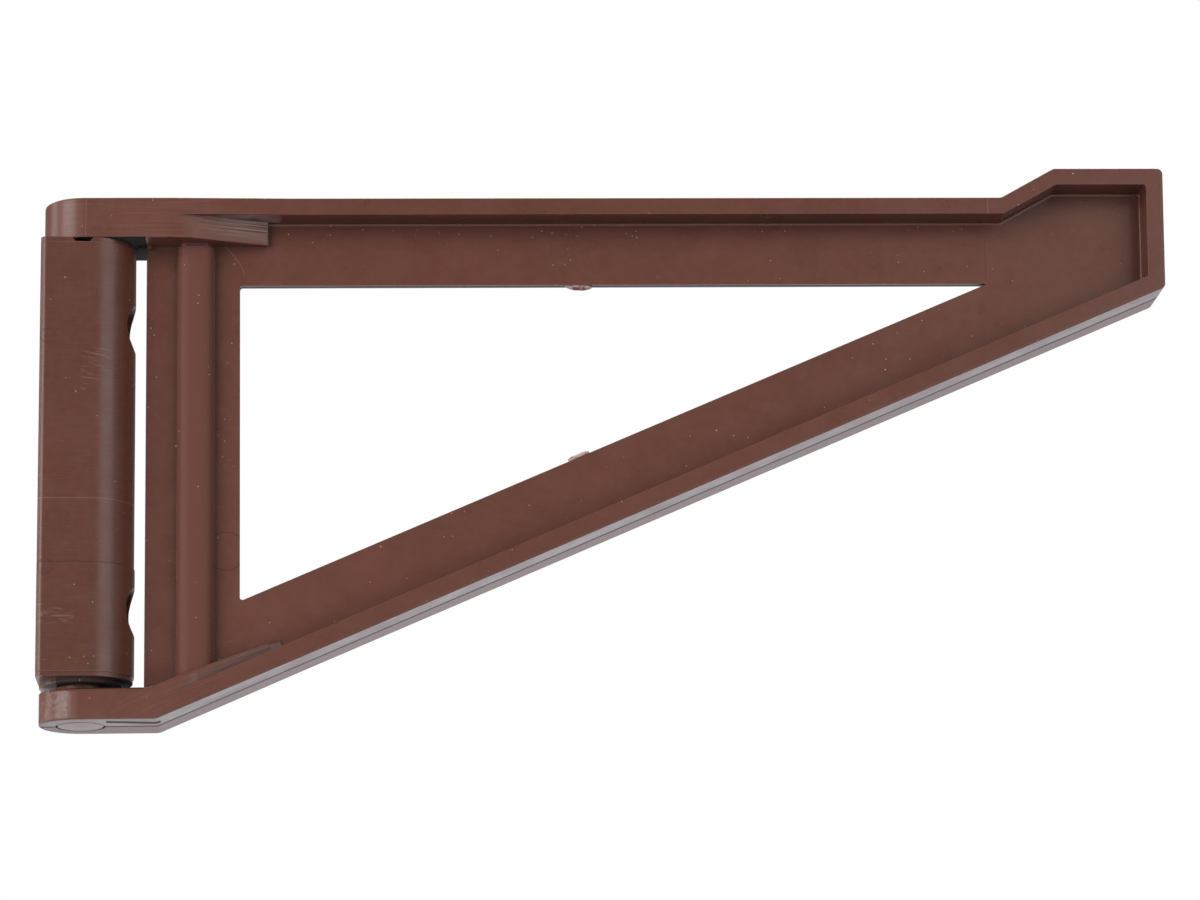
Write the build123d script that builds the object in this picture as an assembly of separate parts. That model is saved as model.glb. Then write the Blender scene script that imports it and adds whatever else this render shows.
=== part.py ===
from build123d import *
import os
from math import atan2, cos, radians, sin, tan

# Fold-away countertop support bracket: a moulded triangular arm that swings on two short pins
# in a wall barrel. Millimetres, +X out from the wall, +Z up, origin at the middle of the
# barrel's flat wall face.

# Arm, as seen from the side
arm_length = 228.5
arm_height = 106.7
flange = 3.5
chord_width = 13.05
strut_width = 12.95
stem_width = 18.8
strut_foot = 15.1
nose_rise = 6.2
nose_length = 22.6
nose_ramp = 11.1
ramp_thinning = 0.6
nose_end_height = 25.4
nose_lean = 0.8
nose_corner = 1.2
foot_bend = 3.0
opening_corner = 0.6

# Arm, across its depth
arm_depth = 15.0
web = 1.9
flange_widening = 43.0
flange_blend = 60.0
edge_round = 0.4
upper_ear_round = 0.3
lower_ear_round = 0.7
root_round = 0.5

# Ears and the gussets behind them
ear_radius = 8.2
upper_ear = 8.4
lower_ear = 6.3
gusset_start = 16.8
gusset_bend = 20.0
gusset_angle = 20.0
upper_gusset_reach = 36.9
lower_gusset_reach = 39.0

# Stiffening rib on the stem, and the tab under the upper ear
rib_width = 7.3
rib_rise = 2.8
rib_corner = 2.0
rib_inset = 10.0
tab_height = 0.6
tab_depth = 4.8
tab_gap = 0.3

# Wall barrel
hinge_reach = 8.4
crown_reach = 10.4
crown_radius = 9.1
barrel_draft = 2.5
back_corner = 1.2
barrel_wall = 3.0
barrel_rib = 2.6
barrel_step = 0.15
barrel_step_height = -22.0
band_height = 1.0
band_inset = 0.25
collar_radius = 8.2
collar_height = 0.95
notch_top = 4.3
notch_floor = 2.8
notch_depth = 0.95

# Screw holes through the barrel
upper_screw_drop = 17.2
screw_spacing = 58.2
screw_hole = 4.6
screw_head = 9.8
screw_seat = 5.0

# Pins
pin_diameter = 9.8
pin_chamfer = 0.5
pin_to_screw = 1.6

# Fits between the arm and the barrel
bearing_gap = 0.1
lift_gap = 1.2
crown_gap = 2.0
pin_running = 0.05
pin_end_gap = 0.4

# Heights worked out from the sizes above, with the barrel's wall face centred on Z = 0
barrel_height = arm_height - upper_ear - lower_ear - bearing_gap - lift_gap - collar_height
barrel_top = barrel_height / 2
barrel_bottom = -barrel_height / 2
arm_bottom = barrel_bottom - collar_height - lift_gap - lower_ear
arm_top = arm_bottom + arm_height
upper_ear_under = arm_top - upper_ear
lower_ear_top = arm_bottom + lower_ear
upper_screw = barrel_top - upper_screw_drop
lower_screw = upper_screw - screw_spacing
upper_pin_end = upper_screw + screw_head / 2 + pin_to_screw
lower_pin_end = lower_screw - screw_head / 2 - pin_to_screw

# Places along X, with the wall face at X = 0
ear_tip = hinge_reach - ear_radius
nose_tip = ear_tip + arm_length
stem_edge = hinge_reach + crown_reach + crown_gap
barrel_crown = hinge_reach + crown_reach
foot = hinge_reach + strut_foot
nose_heel = nose_tip - nose_lean
nose_bottom = arm_top + nose_rise - nose_end_height
strut_angle = atan2(nose_bottom - arm_bottom, nose_heel - foot)

# Cutting bodies reach this far past what they cut
over = 1.0


def strut_line(x, inset):
    """Height of the line that runs inside the strut's outer face by the given inset."""
    return arm_bottom + (x - foot) * tan(strut_angle) + inset / cos(strut_angle)


def strut_meets(height, inset):
    """X at which that line reaches the given height."""
    return foot + (height - arm_bottom - inset / cos(strut_angle)) / tan(strut_angle)


def side_profile(*points):
    """Face in the XZ plane from (x, z) corners."""
    return Plane.XZ * make_face(Polyline(*points, close=True))


def through(face, depth):
    """Body of the given full depth, centred on the arm's middle plane."""
    return extrude(face, amount=depth / 2, both=True)


def vertical(plan):
    """Body that fills a plan over the arm's whole height."""
    return extrude(Pos(0, 0, arm_bottom - over) * plan, amount=arm_height + nose_rise + 2 * over)


def arm_plan():
    """Outline from above: round ears, then flanges that narrow from ear width to arm depth."""
    straight = hinge_reach + gusset_start
    narrowed = hinge_reach + flange_widening
    half = arm_depth / 2
    side = Polyline((hinge_reach, ear_radius), (straight, ear_radius), (narrowed, half), (nose_tip, half))
    end = Line((nose_tip, half), (nose_tip, -half))
    ear = CenterArc((hinge_reach, 0), ear_radius, 90, 180)
    plan = make_face(side + mirror(side, Plane.XZ) + end + ear)
    bends = plan.vertices().filter_by(lambda v: hinge_reach + over < v.X < nose_tip - over)
    return fillet(bends, flange_blend)


def gusset_plan(reach):
    """Ear outline whose sides bend inwards on an arc and taper to the gusset's blunt end."""
    start = hinge_reach + gusset_start
    tip = hinge_reach + reach
    angle = radians(gusset_angle)
    bend = CenterArc((start, ear_radius - gusset_bend), gusset_bend, 90, -gusset_angle)
    taper_x = start + gusset_bend * sin(angle)
    taper_y = ear_radius - gusset_bend * (1 - cos(angle))
    tip_y = taper_y - (tip - taper_x) * tan(angle)
    side = Line((hinge_reach, ear_radius), (start, ear_radius)) + bend
    side += Line((taper_x, taper_y), (tip, tip_y))
    end = Line((tip, tip_y), (tip, -tip_y))
    ear = CenterArc((hinge_reach, 0), ear_radius, 90, 180)
    return make_face(side + mirror(side, Plane.XZ) + end + ear)


def arm_outline(ramp_shift=0):
    """Side outline of the arm, with the nose raised at its outer end and run on past the ears."""
    nose_top = arm_top + nose_rise
    ramp_top = nose_tip - nose_length - ramp_shift
    return side_profile(
        (ear_tip - over, arm_bottom),
        (foot, arm_bottom),
        (nose_heel, nose_bottom),
        (nose_tip, nose_top),
        (ramp_top, nose_top),
        (ramp_top - nose_ramp, arm_top),
        (ear_tip - over, arm_top),
    )


def arm_body():
    """The arm before it is hollowed: corners of its outline and edges of its sides rounded."""
    outline = arm_outline()
    nose = outline.vertices().filter_by(lambda v: v.X > stem_edge + stem_width)
    outline = fillet(nose, nose_corner)
    bend = outline.vertices().filter_by(lambda v: abs(v.X - foot) < over)
    outline = fillet(bend, foot_bend)
    body = through(outline, 4 * ear_radius) & vertical(arm_plan())
    low_or_high = body.edges().filter_by(Axis.Z, reverse=True)
    sides = low_or_high.filter_by(lambda e: abs(e.center().Y) > arm_depth / 2 - edge_round)
    return fillet(sides, edge_round)


def side_pocket():
    """Hollow between the flanges, on one side of the web, with a rounded root."""
    outline = offset(arm_outline(ramp_thinning), -flange, kind=Kind.INTERSECTION)
    outline = fillet(outline.vertices(), opening_corner)
    depth = ear_radius + over - web / 2
    pocket = Pos(0, (web + depth) / 2, 0) * through(outline, depth)
    return fillet(pocket.faces().sort_by(Axis.Y)[0].edges(), root_round)


def upper_block():
    """Upper ear and the gusset that carries it into the top chord."""
    tip = hinge_reach + upper_gusset_reach
    profile = side_profile(
        (ear_tip, upper_ear_under), (tip, upper_ear_under), (tip, arm_top), (ear_tip, arm_top))
    block = through(profile, 4 * ear_radius) & vertical(gusset_plan(upper_gusset_reach))
    return fillet(block.faces().sort_by(Axis.Z)[0].edges(), upper_ear_round)


def lower_block():
    """Lower ear and its gusset, a plate bent to follow the strut and cut off square to it."""
    tip_x = hinge_reach + lower_gusset_reach
    tip_z = strut_line(tip_x, lower_ear)
    bend_x = strut_meets(lower_ear_top, lower_ear)
    heel_x = tip_x + lower_ear * sin(strut_angle)
    heel_z = tip_z - lower_ear * cos(strut_angle)
    profile = side_profile(
        (ear_tip, arm_bottom),
        (foot, arm_bottom),
        (heel_x, heel_z),
        (tip_x, tip_z),
        (bend_x, lower_ear_top),
        (ear_tip, lower_ear_top),
    )
    bend = profile.vertices().filter_by(lambda v: abs(v.X - bend_x) < 0.1)
    profile = fillet(bend, foot_bend)
    block = through(profile, 4 * ear_radius) & vertical(gusset_plan(heel_x - hinge_reach))
    top = block.faces().filter_by(lambda f: f.normal_at().Z > cos(strut_angle) - 0.01)
    sides = top.edges().filter_by(lambda e: abs(e.center().Y) > 1)
    return fillet(sides, lower_ear_round)


def opening():
    """Triangular window between the stem, the top chord and the strut, sharp at its outer end."""
    left = stem_edge + stem_width
    top = arm_top - flange - chord_width
    inset = flange + strut_width
    window = side_profile((left, top), (left, strut_line(left, inset)), (strut_meets(top, inset), top))
    return through(fillet(window.vertices().sort_by(Axis.X)[:2], opening_corner), arm_depth)


def stem_rib():
    """Rounded rib on each face of the stem, from the lower block to the upper one."""
    rib_x = stem_edge + rib_inset
    floor = strut_line(rib_x, flange)
    section = RectangleRounded(rib_width, web + 2 * rib_rise, rib_corner)
    return extrude(Pos(rib_x, 0, floor) * section, amount=upper_ear_under + over - floor)


def pin_hole(bottom, top):
    """Hole in an ear at the pin's own size, because the pin is pressed in."""
    depth = top - bottom
    return Pos(hinge_reach, 0, (top + bottom) / 2) * Cylinder(pin_diameter / 2, depth)


def make_swing_arm():
    """One moulding: flanged triangular frame, two ears, gussets, stem ribs and raised nose."""
    body = arm_body()
    arm = body - side_pocket() - mirror(side_pocket(), Plane.XZ)

    gap = (stem_edge - ear_tip + over, 4 * ear_radius, upper_ear_under - lower_ear_top)
    barrel_gap = Box(*gap, align=(Align.MAX, Align.CENTER, Align.MIN))
    arm -= Pos(stem_edge, 0, lower_ear_top) * barrel_gap
    arm -= opening()
    arm += upper_block() & body
    arm += lower_block() & body
    arm += stem_rib()

    tab_length = crown_gap - tab_gap
    tab = Box(tab_length + over, tab_depth, tab_height + over, align=(Align.MIN, Align.CENTER, Align.MIN))
    arm += Pos(barrel_crown + tab_gap, 0, upper_ear_under - tab_height) * tab
    arm -= pin_hole(arm_bottom - over, lower_ear_top + over)
    arm -= pin_hole(upper_ear_under - over, arm_top + over)
    return arm


def barrel_plan(inset, back_x):
    """Barrel outline from above, moved inwards: round crown, sides drafted wider to the back."""
    angle = radians(barrel_draft)
    centre = barrel_crown - crown_radius
    radius = crown_radius - inset
    side_x = centre + radius * sin(angle)
    side_y = radius * cos(angle)
    back_y = side_y + (side_x - back_x) * tan(angle)
    crown = CenterArc((centre, 0), radius, barrel_draft - 90, 180 - 2 * barrel_draft)
    body = Polyline((side_x, side_y), (back_x, back_y), (back_x, -back_y), (side_x, -side_y))
    return make_face(crown + body)


def barrel_slice(low, high, inset):
    """Slice of the barrel between two heights, with its two back corners rounded."""
    plan = barrel_plan(inset, 0)
    plan = fillet(plan.vertices().sort_by(Axis.X)[:2], back_corner)
    return extrude(Pos(0, 0, low) * plan, amount=high - low)


def barrel_body():
    """Outer block of the barrel: a step at its lower screw, and a set-in band at each end."""
    low_band = barrel_bottom + band_height
    high_band = barrel_top - band_height
    body = barrel_slice(barrel_bottom, low_band, band_inset)
    body += barrel_slice(low_band, barrel_step_height, 0)
    body += barrel_slice(barrel_step_height, high_band, barrel_step)
    return body + barrel_slice(high_band, barrel_top, barrel_step + band_inset)


def wall_bore(diameter, start, height):
    """Bore along X from the given start to past the barrel's crown."""
    along_x = Plane(origin=(start, 0, height), x_dir=(0, -1, 0), z_dir=(1, 0, 0))
    length = barrel_crown - start + over
    return along_x * Cylinder(diameter / 2, length, align=(Align.CENTER, Align.CENTER, Align.MIN))


def back_pockets():
    """Two pockets cored from the wall side, either side of a rib at mid height."""
    clear = screw_head / 2 + barrel_wall
    floor = lower_screw + clear
    span = extrude(Pos(0, 0, floor) * barrel_plan(barrel_wall, -over), amount=screw_spacing - 2 * clear)
    return span - Box(2 * barrel_crown, 4 * crown_radius, barrel_rib)


def top_notch():
    """Trapezoid notch across the barrel's bearing face, as a body on the hinge axis."""
    shape = side_profile(
        (-notch_floor / 2, -notch_depth),
        (notch_floor / 2, -notch_depth),
        (notch_top / 2, 0),
        (notch_top / 2, over),
        (-notch_top / 2, over),
        (-notch_top / 2, 0),
    )
    return through(shape, 4 * barrel_crown)


def pin_bore(low, high):
    """Bore on the hinge axis in which a pin runs."""
    bore = Cylinder(pin_diameter / 2 + pin_running, high - low)
    return Pos(hinge_reach, 0, (low + high) / 2) * bore


def make_wall_barrel():
    """Hinge barrel with two screw holes, bored from both ends for the pins."""
    collar = Cylinder(collar_radius, collar_height, align=(Align.CENTER, Align.CENTER, Align.MAX))
    cuts = back_pockets().solids()
    for height in (upper_screw, lower_screw):
        cuts.append(wall_bore(screw_hole, -over, height))
        cuts.append(wall_bore(screw_head, screw_seat, height))
    for turn in (0, 90):
        cuts.append(Pos(hinge_reach, 0, barrel_top) * Rot(0, 0, turn) * top_notch())
    cuts.append(pin_bore(upper_pin_end - pin_end_gap, barrel_top + over))
    cuts.append(pin_bore(arm_bottom, lower_pin_end + pin_end_gap))
    return barrel_body() + Pos(hinge_reach, 0, barrel_bottom) * collar - cuts


def make_pin(bottom, top):
    """Turned pin with both ends chamfered."""
    pin = Pos(hinge_reach, 0, (bottom + top) / 2) * Cylinder(pin_diameter / 2, top - bottom)
    return chamfer(pin.edges().filter_by(GeomType.CIRCLE), pin_chamfer)


nodes = {
    "swing_arm": make_swing_arm(),
    "wall_barrel": make_wall_barrel(),
    "upper_pin": make_pin(upper_pin_end, arm_top),
    "lower_pin": make_pin(arm_bottom, lower_pin_end),
}

os.makedirs("parts", exist_ok=True)
for name, solid in nodes.items():
    export_step(solid, "parts/" + name + ".step")
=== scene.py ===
from math import cos, pi, radians, sin

import bpy
from mathutils import Matrix, Vector


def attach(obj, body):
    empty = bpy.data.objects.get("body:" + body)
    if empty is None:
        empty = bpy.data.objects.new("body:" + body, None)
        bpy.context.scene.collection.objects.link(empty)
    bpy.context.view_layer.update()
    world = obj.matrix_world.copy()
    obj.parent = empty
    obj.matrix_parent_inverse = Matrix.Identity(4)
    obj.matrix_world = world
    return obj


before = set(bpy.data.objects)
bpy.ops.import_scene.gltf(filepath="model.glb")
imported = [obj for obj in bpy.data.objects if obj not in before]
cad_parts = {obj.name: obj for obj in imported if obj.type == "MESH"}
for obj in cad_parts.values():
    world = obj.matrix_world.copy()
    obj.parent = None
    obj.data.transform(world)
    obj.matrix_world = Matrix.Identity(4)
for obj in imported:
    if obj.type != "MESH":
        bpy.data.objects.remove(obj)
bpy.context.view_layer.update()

mm = 0.001

# Swing arm: one moulding in brown ABS that carries the counter on its raised nose.
# The two mould halves part at mid depth, and the tool marks run along the flanges.
# Where the halves met there is a hairline of flash, and dust clings along the corners.
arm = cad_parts["swing_arm"]
strut_angle = radians(23.18)
strut_face = -58.27 * mm  # its lower face, from the origin along its normal
mould_edge = 0.2 * mm
dust_colour = "#b7a8a1"
# Pale colour of rubbed scratches and flash, used on the barrel as a painted glint too
rubbed_and_glint_colour = "#8f6c62"


def linear(hex_colour):
    """Linear colour of an sRGB hex value."""
    channels = [int(hex_colour[i:i + 2], 16) / 255 for i in (1, 3, 5)]
    curve = [c / 12.92 if c <= 0.04045 else ((c + 0.055) / 1.055) ** 2.4 for c in channels]
    return (*curve, 1)


def add(tree, kind, inputs, out=0, **settings):
    """Adds a node, sets or links its inputs and gives back one of its outputs.

    A Mix takes its factor at 0, its two numbers at 2 and 3 and its two colours at 6 and 7."""
    made = tree.nodes.new("ShaderNode" + kind)
    for name, value in settings.items():
        setattr(made, name, value)
    for socket, value in inputs.items():
        if isinstance(value, bpy.types.NodeSocket):
            tree.links.new(value, made.inputs[socket])
        else:
            made.inputs[socket].default_value = value
    return made.outputs[out] if made.outputs else None


def overlap(tree, *masks):
    """Mask of what lies in all of the given masks."""
    mask = masks[0]
    for other in masks[1:]:
        mask = add(tree, "Math", {0: mask, 1: other}, operation="MULTIPLY")
    return mask


def within(tree, *limits):
    """Mask that is 1 where each value lies within its reach of its centre, all in metres."""
    return overlap(tree, *[
        add(tree, "Math", {0: value, 1: centre, 2: reach}, operation="COMPARE")
        for value, centre, reach in limits
    ])


def from_point(tree, across, up, point):
    """Distance to a point in the plane of two coordinates."""
    flat = add(tree, "CombineXYZ", {0: across, 1: up})
    return add(tree, "VectorMath", {0: flat, 1: (*point, 0)}, "Value", operation="DISTANCE")


def start_plastic(name, low="#6c4032", high="#754539"):
    """Brown ABS as moulded, half gloss: clouded colour, dust, painted edge highlights and corner
    shade, fine orange peel.
    """
    made = bpy.data.materials.new(name)
    made.use_nodes = True
    tree = made.node_tree
    tree.nodes.clear()
    place = add(tree, "TexCoord", {}, "Object")

    # Pigment clouds 40 mm across, and a mottle of 1.5 mm
    cloud = add(tree, "TexNoise", {"Vector": place, "Scale": 25, "Detail": 2})
    mottle = add(tree, "TexNoise", {"Vector": place, "Scale": 650, "Detail": 3})
    tone = add(tree, "Math", {0: cloud, 1: mottle}, operation="ADD")
    tone = add(tree, "MapRange", {"Value": tone, "From Min": 0.75, "From Max": 1.25})
    colour = add(tree, "Mix", {0: tone, 6: linear(low), 7: linear(high)}, 2, data_type="RGBA")

    # Dust specks up to 0.3 mm wide, a few to every square centimetre, in drifts of 3 mm
    crowd = add(tree, "TexNoise", {"Vector": place, "Scale": 300, "Detail": 1})
    speck_size = add(tree, "MapRange", {"Value": crowd, "From Min": 0.4, "From Max": 0.7,
                                        "To Min": 0.02, "To Max": 0.075})
    nearest = add(tree, "TexVoronoi", {"Vector": place, "Scale": 1 / (2 * mm)})
    speck = add(tree, "Math", {0: nearest, 1: speck_size}, operation="LESS_THAN")

    # Edges the mould left sharp are 0.2 mm round, and made paler along them as a painted
    # highlight
    flat = add(tree, "NewGeometry", {}, "Normal")
    soft = add(tree, "Bevel", {"Radius": mould_edge}, samples=6)
    turn = add(tree, "VectorMath", {0: flat, 1: soft}, "Value", operation="DOT_PRODUCT")
    edge_highlight = add(tree, "MapRange", {"Value": turn, "From Min": 0.999, "From Max": 0.9,
                                  "To Min": 0, "To Max": 0.7})
    colour = add(tree, "Mix", {0: edge_highlight, 6: colour, 7: linear("#8a6459")}, 2, data_type="RGBA")

    # Painted shade: corners are darkened within 7 mm of what rises beside them
    open_side = add(tree, "AmbientOcclusion", {"Distance": 7 * mm}, "AO",
                    samples=6, only_local=True)
    painted_corner_shade = add(tree, "MapRange", {"Value": open_side, "From Min": 0.95, "From Max": 0.5,
                                  "To Min": 0, "To Max": 0.5})
    colour = add(tree, "Mix", {0: painted_corner_shade, 6: colour, 7: linear("#3c1f17")}, 2, data_type="RGBA")

    # The mould's polish varies from place to place, over about 6 mm
    polish = add(tree, "TexNoise", {"Vector": place, "Scale": 160, "Detail": 3})
    rough = add(tree, "MapRange", {"Value": polish, "From Min": 0.3, "From Max": 0.7,
                                   "To Min": 0.26, "To Max": 0.38})

    # Orange peel of 0.7 mm, two micrometres deep
    peel = add(tree, "TexNoise", {"Vector": place, "Scale": 1400, "Detail": 2})
    height = add(tree, "Math", {0: peel, 1: 0.2}, operation="MULTIPLY")
    return {"made": made, "tree": tree, "place": place, "colour": colour, "rough": rough,
            "height": height, "normal": soft, "speck": speck}


def mark(plastic, *masks, shade=None, rough=None, height=0):
    """Gives what lies in all the masks its own shade, roughness and height in 0.01 mm."""
    tree = plastic["tree"]
    mask = overlap(tree, *masks)
    if shade:
        plastic["colour"] = add(tree, "Mix", {0: mask, 6: plastic["colour"], 7: linear(shade)},
                                2, data_type="RGBA")
    if rough:
        plastic["rough"] = add(tree, "Mix", {0: mask, 2: plastic["rough"], 3: rough})
    if height:
        lift = add(tree, "Math", {0: mask, 1: height}, operation="MULTIPLY")
        plastic["height"] = add(tree, "Math", {0: plastic["height"], 1: lift}, operation="ADD")


def streaks(plastic, turn, length, width, strength, *masks, start=0.42, shade="#94766f"):
    """Fine tool streaks in what lies in all the masks, at a turn from X in the XZ plane."""
    tree = plastic["tree"]
    grain = add(tree, "Mapping", {"Vector": plastic["place"], "Rotation": (0, -turn, 0),
                                  "Scale": (length, length, width)}, vector_type="TEXTURE")
    grain = add(tree, "TexNoise", {"Vector": grain, "Scale": 1, "Detail": 3})
    lines = add(tree, "MapRange", {"Value": grain, "From Min": start, "From Max": 0.68,
                                   "To Min": 0, "To Max": strength})
    mark(plastic, lines, *masks, shade=shade, rough=0.4, height=0.6)


def close_plastic(plastic, *objects):
    """Lays the dust on, joins colour, roughness and bump to the shader, gives it to objects."""
    mark(plastic, plastic["speck"], shade=dust_colour, rough=0.7, height=0.2)
    tree = plastic["tree"]
    bump = add(tree, "Bump", {"Height": plastic["height"], "Distance": 0.01 * mm,
                              "Normal": plastic["normal"]})
    shader = add(tree, "BsdfPrincipled", {"Base Color": plastic["colour"], "IOR": 1.5,
                                          "Roughness": plastic["rough"], "Normal": bump})
    add(tree, "OutputMaterial", {"Surface": shader})
    for thing in objects:
        thing.data.materials.clear()
        thing.data.materials.append(plastic["made"])


arm_plastic = start_plastic("brown_ABS_moulded_arm")
tree, place = arm_plastic["tree"], arm_plastic["place"]
x, y, z = (add(tree, "SeparateXYZ", {0: place}, axis) for axis in "XYZ")
depth = add(tree, "Math", {0: y}, operation="ABSOLUTE")
front = add(tree, "Math", {0: y, 1: 0.0}, operation="LESS_THAN")
down = add(tree, "SeparateXYZ", {0: add(tree, "NewGeometry", {}, "Normal")}, "Z")
down = add(tree, "Math", {0: down, 1: -0.5}, operation="LESS_THAN")
web_face = within(tree, (depth, 1 * mm, 0.2 * mm))

# Parting line at mid depth, with dashes of flash 3 mm long, and on faces that look down a band
# of painted shade for the shadow of a groove along it
dash = add(tree, "TexNoise", {"Vector": place, "Scale": 350, "Detail": 1})
dash = add(tree, "Math", {0: dash, 1: 0.56}, operation="GREATER_THAN")
parting = within(tree, (y, 0, 0.05 * mm))
mark(arm_plastic, parting, shade="#4a2c25", rough=0.6, height=-2)
mark(arm_plastic, parting, dash, shade="#7c5a50", height=5)
groove_shade = within(tree, (y, 0.2 * mm, 0.7 * mm))
mark(arm_plastic, groove_shade, down, shade="#2a1510", rough=1.0)

# Witness lines of the nose insert, and the line of flash across the upper ear
insert_line, nose_line, ear_flash = 192.1 * mm, 217 * mm, 8.9 * mm
for line, shade in (
    (within(tree, (x, insert_line, 0.04 * mm), (z, 43.7 * mm, 6.1 * mm)), "#54342c"),
    (within(tree, (x, insert_line, 0.06 * mm), (z, 51.6 * mm, 1.8 * mm)), rubbed_and_glint_colour),
    (within(tree, (x, nose_line, 0.04 * mm), (z, 55.7 * mm, 0.7 * mm)), "#4a2c25"),
):
    mark(arm_plastic, line, shade=shade, rough=0.6, height=-2)
ear_line = within(tree, (x, ear_flash, 0.05 * mm), (z, 49.1 * mm, 4.2 * mm),
                  (depth, 8.2 * mm, 0.1 * mm))
mark(arm_plastic, ear_line, shade=rubbed_and_glint_colour, rough=0.5, height=3)

# Streaks on both gussets, one along the chord and one along the strut: strong and pale on the
# tapered faces near the tips, where the paleness is partly painted sheen, weak on the flat sides
# near the roots
slope = add(tree, "VectorMath", {0: place, 1: (-sin(strut_angle), 0, cos(strut_angle))},
            "Value", operation="DOT_PRODUCT")
tapered = within(tree, (depth, 4.6 * mm, 2.6 * mm), (x, 36 * mm, 12 * mm))
flat_side = within(tree, (depth, 8 * mm, 0.9 * mm))
tip_sheen = add(tree, "MapRange", {"Value": x, "From Min": 30 * mm, "From Max": 42 * mm})
root = add(tree, "MapRange", {"Value": x, "From Min": 48 * mm, "From Max": 30 * mm})
for turn, across, centre, reach, strength in (
    (0, z, 49.1 * mm, 4.1 * mm, 1.0),
    (strut_angle, slope, strut_face + 3.2 * mm, 3.2 * mm, 0.2),
):
    gusset = within(tree, (across, centre, reach))
    upper_half = add(tree, "MapRange", {"Value": across, "From Min": centre - reach,
                                        "From Max": centre})
    mark(arm_plastic, tapered, gusset, rough=0.5)
    streaks(arm_plastic, turn, 12 * mm, 0.25 * mm, strength, tapered, gusset, tip_sheen, upper_half,
            start=0.38, shade="#b9a49f")
    streaks(arm_plastic, turn, 12 * mm, 0.3 * mm, 0.15, flat_side, gusset, root)

# A long scratch below the upper gusset, and the ring that an ejector left on the stem
arc = from_point(tree, x, z, (27.1 * mm, 34.44 * mm))
scratch = within(tree, (arc, 14.3 * mm, 0.05 * mm), (x, 38.5 * mm, 2.1 * mm),
                 (z, 42.2 * mm, 3.2 * mm))
mark(arm_plastic, scratch, web_face, front, shade=rubbed_and_glint_colour, height=-2)
from_ejector = from_point(tree, x, z, (36.9 * mm, -18.3 * mm))
ring = within(tree, (from_ejector, 3.9 * mm, 0.09 * mm))
mark(arm_plastic, ring, web_face, shade="#4f3029", rough=0.5, height=-3)

# The rib's corners run softly into its face, and its cavity was left matt
rib = within(tree, (x, 30.8 * mm, 4.4 * mm), (depth, 3.2 * mm, 2 * mm), (z, 0, 44.5 * mm))
blend = add(tree, "MapRange", {"Value": rib, "To Min": mould_edge, "To Max": 2.8 * mm})
tree.links.new(blend, arm_plastic["normal"].node.inputs["Radius"])
mark(arm_plastic, rib, rough=0.62, shade="#6a3a2c")

# The back mould half was less well polished, which shows on the faces that look down
back_half = add(tree, "MapRange", {"Value": y, "From Min": -1 * mm, "From Max": 1 * mm})
mark(arm_plastic, back_half, down, rough=0.4)

# A dark line where the lower ear's underside was trimmed, a little askew
askew = add(tree, "VectorMath", {0: place, 1: (0.157, -1, 0)}, "Value",
            operation="DOT_PRODUCT")
trimmed = within(tree, (askew, 7.05 * mm, 1.1 * mm), (x, 19.1 * mm, 5.4 * mm),
                 (z, -53.3 * mm, 0.3 * mm))
mark(arm_plastic, trimmed, shade="#3a1c14", rough=0.8)

# More dust where it gathers, under the chord's flange and at the rib's root
crumb = add(tree, "TexVoronoi", {"Vector": place, "Scale": 1 / (1.2 * mm)})
crumb = add(tree, "Math", {0: crumb, 1: 0.085}, operation="LESS_THAN")
drift = add(tree, "TexNoise", {"Vector": place, "Scale": 1 / (25 * mm), "Detail": 1})
drift = add(tree, "Math", {0: drift, 1: 0.5}, operation="GREATER_THAN")
for corner in (
    within(tree, (z, 48.6 * mm, 1.8 * mm), (depth, 4 * mm, 3.4 * mm), (x, 120 * mm, 70 * mm)),
    within(tree, (x, 35.6 * mm, 1.2 * mm), (depth, 1.5 * mm, 1 * mm)),
):
    mark(arm_plastic, crumb, drift, corner, shade=dust_colour, rough=0.7)

# Patch of dimples on the lower ear, made paler as a painted highlight that breaks up on them
highlit_patch = within(tree, (x, 3 * mm, 3.4 * mm), (z, -50.2 * mm, 2.6 * mm))
dimples = add(tree, "TexNoise", {"Vector": place, "Scale": 900, "Detail": 2})
dimples = add(tree, "MapRange", {"Value": dimples, "From Min": 0.45, "From Max": 0.65})
mark(arm_plastic, dimples, highlit_patch, shade="#7d5a51", height=4)

# Painted shade, near black and matt, in the two gaps between the ears and the barrel
for gap_height in (44.7 * mm, -46.9 * mm):
    gap_shade = within(tree, (x, 14 * mm, 6.9 * mm), (z, gap_height, 0.4 * mm))
    mark(arm_plastic, gap_shade, shade="#0c0605", rough=1.0)
close_plastic(arm_plastic, arm)

# Gate stubs: where the moulding was twisted off its runner, a torn lens of plastic hangs from
# the window's upper edge and a low one stands on the strut across from it.
# Each is half a flattened ball, roughened by the break, which has whitened the plastic.
torn_plastic = start_plastic("brown_ABS_torn_gate")
tree, place = torn_plastic["tree"], torn_plastic["place"]
crazed = add(tree, "TexNoise", {"Vector": place, "Scale": 1 / (1.2 * mm), "Detail": 2})
crazed = add(tree, "MapRange", {"Value": crazed, "From Min": 0.36, "From Max": 0.52})
mark(torn_plastic, crazed, shade="#c9aea6", rough=0.5, height=1)

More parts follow.
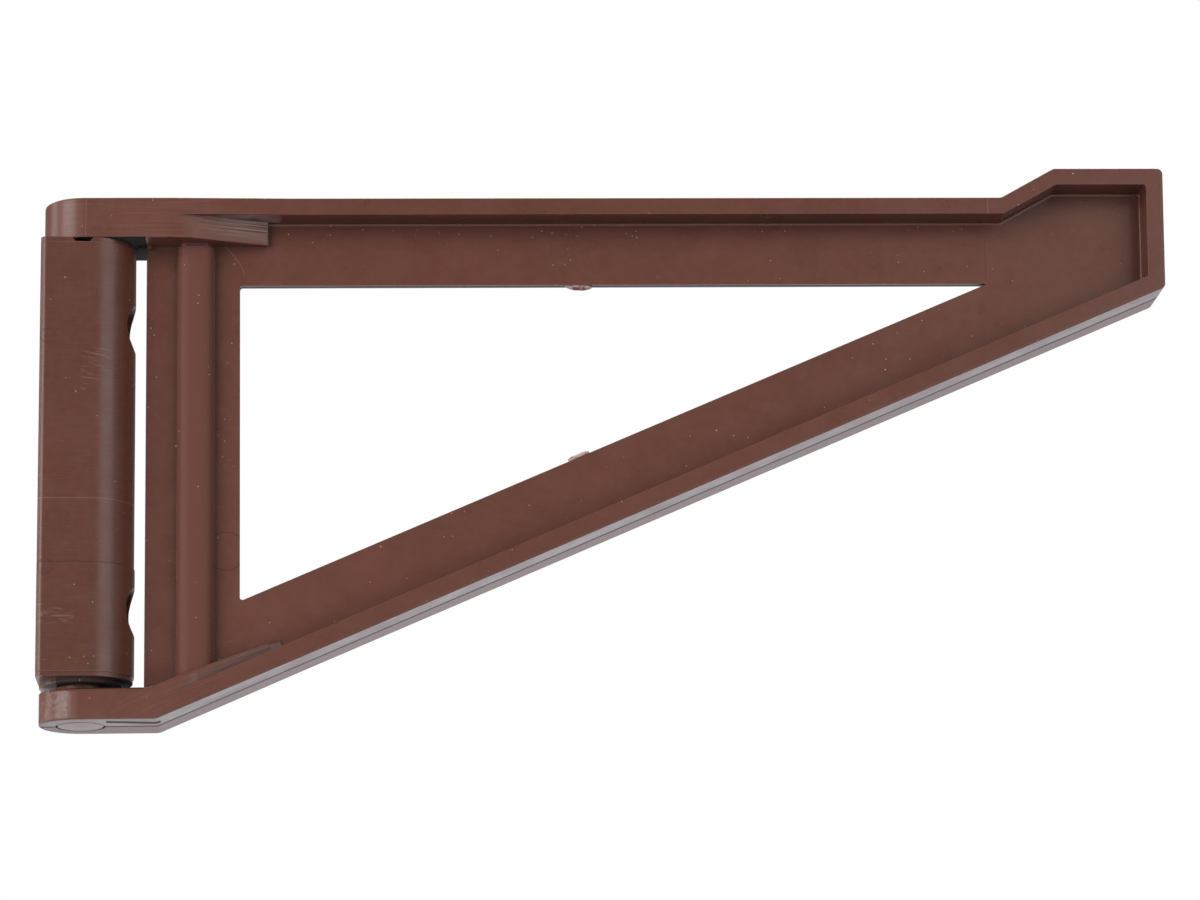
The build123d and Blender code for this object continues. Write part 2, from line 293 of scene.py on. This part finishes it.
bpy.ops.object.select_all(action="DESELECT")
bpy.ops.mesh.primitive_uv_sphere_add(segments=48, ring_count=24, radius=1)
upper_stub = bpy.context.active_object
upper_stub.name = "upper_gate_stub"
upper_stub.scale = (2.8 * mm, 0.8 * mm, 0.85 * mm)
bpy.ops.object.transform_apply(scale=True)
bpy.ops.object.mode_set(mode="EDIT")
bpy.ops.mesh.select_all(action="SELECT")
bpy.ops.mesh.bisect(plane_co=(0, 0, 0.1 * mm), plane_no=(0, 0, 1),
                    clear_outer=True, use_fill=True)
bpy.ops.object.mode_set(mode="OBJECT")
break_grain = bpy.data.textures.new("break_grain", "CLOUDS")
break_grain.noise_scale = 0.9 * mm
rough_break = upper_stub.modifiers.new("rough_break", "DISPLACE")
rough_break.texture = break_grain
rough_break.texture_coords = "LOCAL"
rough_break.strength = 0.25 * mm
bpy.ops.object.modifier_apply(modifier="rough_break")
bpy.ops.object.shade_smooth_by_angle(angle=radians(40))
lower_stub = upper_stub.copy()
lower_stub.data = upper_stub.data.copy()
lower_stub.name = "lower_gate_stub"
scene = bpy.context.scene
scene.collection.objects.link(lower_stub)

# The lower one was cut short at both ends
upper_stub.select_set(False)
lower_stub.select_set(True)
bpy.context.view_layer.objects.active = lower_stub
bpy.ops.object.mode_set(mode="EDIT")
for end in (1, -1):
    bpy.ops.mesh.select_all(action="SELECT")
    bpy.ops.mesh.bisect(plane_co=(end * 1.7 * mm, 0, 0), plane_no=(end, 0, 0),
                        clear_outer=True, use_fill=True)
bpy.ops.object.mode_set(mode="OBJECT")

for stub, size, turn, spot in (
    (upper_stub, (1, 1, 1), 0.06, (108.3, 0, 36.8)),
    (lower_stub, (1.3, 0.85, 0.85), pi - strut_angle, (107.8, 0, 0.85)),
):
    bpy.ops.object.select_all(action="DESELECT")
    stub.select_set(True)
    bpy.context.view_layer.objects.active = stub
    stub.scale = size
    stub.rotation_euler = (0, turn, 0)
    stub.location = Vector(spot) * mm
    bpy.ops.object.transform_apply()
    stub.data.materials.clear()
    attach(stub, "arm_side")
close_plastic(torn_plastic, upper_stub, lower_stub)

# Wall barrel: the same ABS, moulded on cores from the wall side, carrying the arm's ears.
# Mould inserts left witness lines around it and two ejector circles by its front edge,
# and the counter's swinging has scuffed its round face.
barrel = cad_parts["wall_barrel"]
barrel_plastic = start_plastic("brown_ABS_moulded_barrel", low="#643a2d", high="#6c3f33")
tree, place = barrel_plastic["tree"], barrel_plastic["place"]
x, z = (add(tree, "SeparateXYZ", {0: place}, axis) for axis in "XZ")

# Fine rings of the turned cavity
round_face = within(tree, (x, 10 * mm, 12 * mm))
streaks(barrel_plastic, 0, 5 * mm, 0.3 * mm, 0.05, round_face)

# Witness lines: under the top band, over the bottom one, and two faint ones between them. The
# two by the bands are pale as a painted glint along them
for line_height, shade in (
    (43.87 * mm, rubbed_and_glint_colour),
    (-43.87 * mm, rubbed_and_glint_colour),
    (-9.1 * mm, "#86625a"),
    (-22 * mm, "#3c2019"),
):
    mark(barrel_plastic, within(tree, (z, line_height, 0.06 * mm)), shade=shade, rough=0.35)
for ejector_height in (24.2 * mm, -22.95 * mm):
    from_ejector = from_point(tree, x, z, (1.7 * mm, ejector_height))
    circle = within(tree, (from_ejector, 1.5 * mm, 0.07 * mm))
    mark(barrel_plastic, circle, shade="#4f3029", rough=0.5, height=-3)

# Scuffs: short fine scratches in two patches
for centre_x, centre_z, wide, high, turn in (
    (11.3 * mm, 17.5 * mm, 3.0 * mm, 4.5 * mm, radians(-8)),
    (3.0 * mm, -32.2 * mm, 4.4 * mm, 2.4 * mm, 0),
):
    patch = within(tree, (x, centre_x, wide), (z, centre_z, high))
    streaks(barrel_plastic, turn, 4 * mm, 0.4 * mm, 0.5, patch, start=0.55)

# Painted shade, dark and matt, on the bearing collar
collar_shade = within(tree, (x, 13 * mm, 9 * mm), (z, -45.4 * mm, 0.6 * mm))
mark(barrel_plastic, collar_shade, shade="#2a1713", rough=0.8)
close_plastic(barrel_plastic, barrel)

# Pins: short turned pieces of the same ABS, pressed into the ears until they are flush.
# Turning left fine rings on their ends, 0.7 mm apart.
pin_plastic = start_plastic("brown_ABS_turned_pin")
tree, place = pin_plastic["tree"], pin_plastic["place"]
x, y = (add(tree, "SeparateXYZ", {0: place}, axis) for axis in "XY")
hinge_axis = (8.4 * mm, 0)
radians_per_metre = 9000.0
radius = from_point(tree, x, y, hinge_axis)
rings = add(tree, "Math", {0: radius, 1: radians_per_metre}, operation="MULTIPLY")
rings = add(tree, "Math", {0: rings}, operation="SINE")
mark(pin_plastic, rings, height=0.3)
close_plastic(pin_plastic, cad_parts["lower_pin"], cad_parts["upper_pin"])

# Studio: a pale table of matt paper 0.25 m below the bracket's middle, in a white light tent.
# It throws little light up, and mirrored in the plastic it is brightest at the right and far
# behind, so that the faces that look down are pale and the front ones stay brown.
bpy.ops.object.select_all(action="DESELECT")
scene.view_settings.view_transform = "Standard"

bpy.ops.mesh.primitive_plane_add(size=8, location=(0.1, 0, -0.25))
floor = bpy.context.active_object
floor.name = "floor"
paper = bpy.data.materials.new("pale_matt_paper")
paper.use_nodes = True
tree = paper.node_tree
sheet = tree.nodes["Principled BSDF"]
sheet.inputs["Roughness"].default_value = 0.9
sheet.inputs["Emission Color"].default_value = linear("#eef1ff")
bounced = add(tree, "LightPath", {}, "Is Diffuse Ray")
tone = add(tree, "Mix", {0: bounced, 6: linear("#f2f1ef"), 7: linear("#6e6d6c")}, 2,
           data_type="RGBA")
tree.links.new(tone, sheet.inputs["Base Color"])
mirrored = add(tree, "LightPath", {}, "Is Glossy Ray")
place = add(tree, "TexCoord", {}, "Object")
x, y = (add(tree, "SeparateXYZ", {0: place}, axis) for axis in "XY")
right = add(tree, "MapRange", {"Value": x, "From Min": -0.1, "From Max": 0.2,
                               "To Min": 0.6, "To Max": 1.0})
behind = add(tree, "MapRange", {"Value": y, "From Min": 0.1, "From Max": 0.45,
                                "To Min": 0.25, "To Max": 1.0})
tree.links.new(overlap(tree, mirrored, right, behind), sheet.inputs["Emission Strength"])
paper.cycles.emission_sampling = "NONE"
floor.data.materials.append(paper)

# Light tent: white to the camera and through glass, 0.35 of that as light on the bracket, and
# mirrored in it white at the horizon and 0.2 above it
world = bpy.data.worlds.new("light_tent")
scene.world = world
world.use_nodes = True
tree = world.node_tree
tree.nodes.clear()
camera_ray, glossy_ray, glass_ray = (
    add(tree, "LightPath", {}, f"Is {kind} Ray") for kind in ("Camera", "Glossy", "Transmission")
)
white = add(tree, "Math", {0: camera_ray, 1: glossy_ray}, operation="MAXIMUM")
white = add(tree, "Math", {0: white, 1: glass_ray}, operation="MAXIMUM")
level = add(tree, "MapRange", {"Value": white, "To Min": 0.35, "To Max": 1.0})
above = add(tree, "SeparateXYZ", {0: add(tree, "TexCoord", {}, "Generated")}, "Z")
fading = add(tree, "MapRange", {"Value": above, "From Min": 0.0, "From Max": 0.2,
                                "To Min": 1.0, "To Max": 0.2})
level = add(tree, "Mix", {0: glossy_ray, 2: level, 3: fading})
sky = add(tree, "Background", {"Color": (1, 1, 1, 1), "Strength": level})
add(tree, "OutputWorld", {"Surface": sky})

# Lamps: a large soft one at the left of the camera, a weak one at the far left, one at the
# right that draws the streak on the barrel, and two behind. Turn is from the camera's side
# and lift from the level, in degrees.
aim = Vector((0.1, 0, 0))
lamp_distance, lamp_height = 0.9, 0.7
for name, turn, lift, lamp_width, watts in (
    ("key", -50, 6, 0.6, 5.2),
    ("side", -95, 10, 0.3, 1.5),
    ("streak", 42, 12, 0.6, 2.2),
    ("back_right", 140, 55, 0.5, 3.0),
    ("back_left", -140, 55, 0.5, 3.0),
):
    lamp = bpy.data.lights.new(name, "AREA")
    lamp.shape = "RECTANGLE"
    lamp.size, lamp.size_y, lamp.energy = lamp_width, lamp_height, watts
    holder = bpy.data.objects.new(name, lamp)
    scene.collection.objects.link(holder)
    turn, lift = radians(turn), radians(lift)
    away = Vector((sin(turn) * cos(lift), -cos(turn) * cos(lift), sin(lift)))
    holder.location = aim + lamp_distance * away
    holder.rotation_euler = away.to_track_quat("Z", "Y").to_euler()

# Camera: 0.8 m in front and 0.2 m below the bracket's middle, looking up at it, with place,
# turn and lens fitted to the photograph
camera = bpy.data.objects.new("camera", bpy.data.cameras.new("camera"))
scene.collection.objects.link(camera)
scene.camera = camera
camera.data.sensor_width = 36
camera.data.lens = 119.656
camera.data.clip_start = 0.05
camera_place = (0.060021, -0.778438, -0.197685)
pitch, yaw, roll = 0.250968, 0.066737, -0.0221285
camera.matrix_world = (
    Matrix.Translation(camera_place)
    @ Matrix.Rotation(-yaw, 4, "Z")
    @ Matrix.Rotation(pi / 2 + pitch, 4, "X")
    @ Matrix.Rotation(roll, 4, "Z")
)

bpy.context.view_layer.update()
